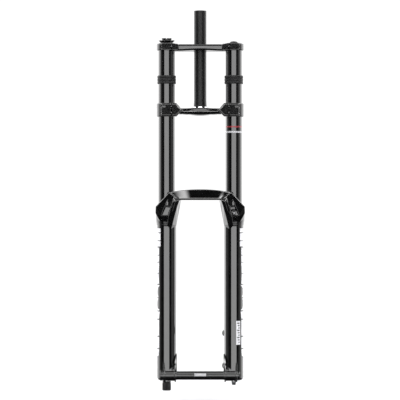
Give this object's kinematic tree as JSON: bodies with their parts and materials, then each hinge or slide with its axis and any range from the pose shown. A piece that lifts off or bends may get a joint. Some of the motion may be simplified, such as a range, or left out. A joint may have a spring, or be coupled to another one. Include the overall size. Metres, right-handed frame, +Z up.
{
  "type": "suspension fork",
  "caption": "Black dual-crown downhill suspension fork with 200 mm travel, straight steerer, 38 mm stanchions and a 20 mm through axle.",
  "frame": {"origin": "on the steerer's axis at the crown race flat of the lower crown", "axes": "+Z up along the steerer, -Y to the front of the bicycle, +X to the rider's left (the air side)"},
  "size_m": [0.2032, 0.1155, 0.8684],
  "materials": {
    "gloss_black_paint": "glossy black paint on a magnesium casting",
    "black_anodised": "polished black anodising",
    "satin_black": "satin black anodising",
    "bolt_steel": "black-oxide steel",
    "bare_aluminium": "machined",
    "polished_steel": "polished",
    "bearing_bronze": "coated bearing bronze",
    "black_rubber": "matte moulded rubber",
    "black_plastic": "moulded",
    "foam": "oiled foam"
  },
  "bodies": {
    "crown_and_stanchions": {"steerer_tube": "satin_black", "lower_crown": "black_anodised", "upper_crown": "black_anodised", "stanchion_damper_side": "black_anodised", "stanchion_air_side": "black_anodised", "upper_pinch_bolt_damper_side": "bolt_steel", "upper_pinch_bolt_air_side": "bolt_steel", "lower_pinch_bolt_damper_side_1": "bolt_steel", "lower_pinch_bolt_damper_side_2": "bolt_steel", "lower_pinch_bolt_air_side_1": "bolt_steel", "lower_pinch_bolt_air_side_2": "bolt_steel", "steerer_pinch_bolt": "bolt_steel", "damper_top_cap": "black_anodised", "air_top_cap": "black_anodised", "compression_valve_body": "bare_aluminium", "damper_cartridge_tube": "bare_aluminium", "expansion_bladder": "black_rubber", "volume_spacer_1": "black_plastic", "volume_spacer_2": "black_plastic", "damper_seal_head": "bare_aluminium", "air_seal_head": "bare_aluminium", "air_valve_stem": "bare_aluminium"},
    "lower_leg_unit": {"lower_legs": "gloss_black_paint", "wiper_seal_damper_side": "black_rubber", "wiper_seal_air_side": "black_rubber", "foam_ring_damper_side": "foam", "foam_ring_air_side": "foam", "upper_bushing_damper_side": "bearing_bronze", "upper_bushing_air_side": "bearing_bronze", "lower_bushing_damper_side": "bearing_bronze", "lower_bushing_air_side": "bearing_bronze", "damper_shaft": "polished_steel", "air_shaft": "polished_steel", "damper_piston": "bare_aluminium", "air_piston": "black_plastic", "damper_top_out_bumper": "black_rubber", "air_top_out_bumper": "black_rubber", "damper_foot_bolt": "bolt_steel", "air_foot_bolt": "bolt_steel", "crush_washer_damper_side": "bare_aluminium", "crush_washer_air_side": "bare_aluminium", "hose_guide": "black_plastic", "hose_guide_screw": "bolt_steel"},
    "high_speed_dial": {"high_speed_compression_dial": "black_anodised"},
    "low_speed_dial": {"low_speed_compression_dial": "black_anodised", "dial_screw": "bolt_steel"},
    "rebound_adjuster": {"rebound_knob": "black_anodised", "rebound_rod": "bare_aluminium"},
    "axle": {"through_axle": "black_anodised"},
    "valve_cap": {"air_valve_cap": "black_anodised"},
    "bumper_damper_side": {"frame_bumper_damper_side": "black_rubber"},
    "bumper_air_side": {"frame_bumper_air_side": "black_rubber"}
  },
  "joints": [
    {"name": "fork_travel", "type": "slide", "parent": "crown_and_stanchions", "child": "lower_leg_unit", "axis": [0, 0, 1], "range_m": [0, 0.2], "stiffness_N_per_m": 3200, "springref_m": -0.012},
    {"name": "high_speed_dial_turn", "type": "hinge", "parent": "crown_and_stanchions", "child": "high_speed_dial", "pos_m": [-0.0765, -0.036, 0.149], "axis": [0, 0, 1], "range_deg": [-45, 45]},
    {"name": "low_speed_dial_turn", "type": "hinge", "parent": "crown_and_stanchions", "child": "low_speed_dial", "pos_m": [-0.0765, -0.036, 0.153], "axis": [0, 0, 1], "range_deg": [-165, 165]},
    {"name": "rebound_knob_turn", "type": "hinge", "parent": "lower_leg_unit", "child": "rebound_adjuster", "pos_m": [-0.0765, -0.036, -0.635], "axis": [0, 0, 1], "range_deg": [-180, 180]},
    {"name": "axle_withdraw", "type": "slide", "parent": "lower_leg_unit", "child": "axle", "axis": [-1, 0, 0], "range_m": [0, 0.185]},
    {"name": "valve_cap_lift", "type": "slide", "parent": "crown_and_stanchions", "child": "valve_cap", "axis": [0, 0, 1], "range_m": [0, 0.02]},
    {"name": "bumper_slide_damper_side", "type": "slide", "parent": "crown_and_stanchions", "child": "bumper_damper_side", "axis": [0, 0, 1], "range_m": [-0.043, 0.054]},
    {"name": "bumper_slide_air_side", "type": "slide", "parent": "crown_and_stanchions", "child": "bumper_air_side", "axis": [0, 0, 1], "range_m": [-0.043, 0.054]}
  ]
}
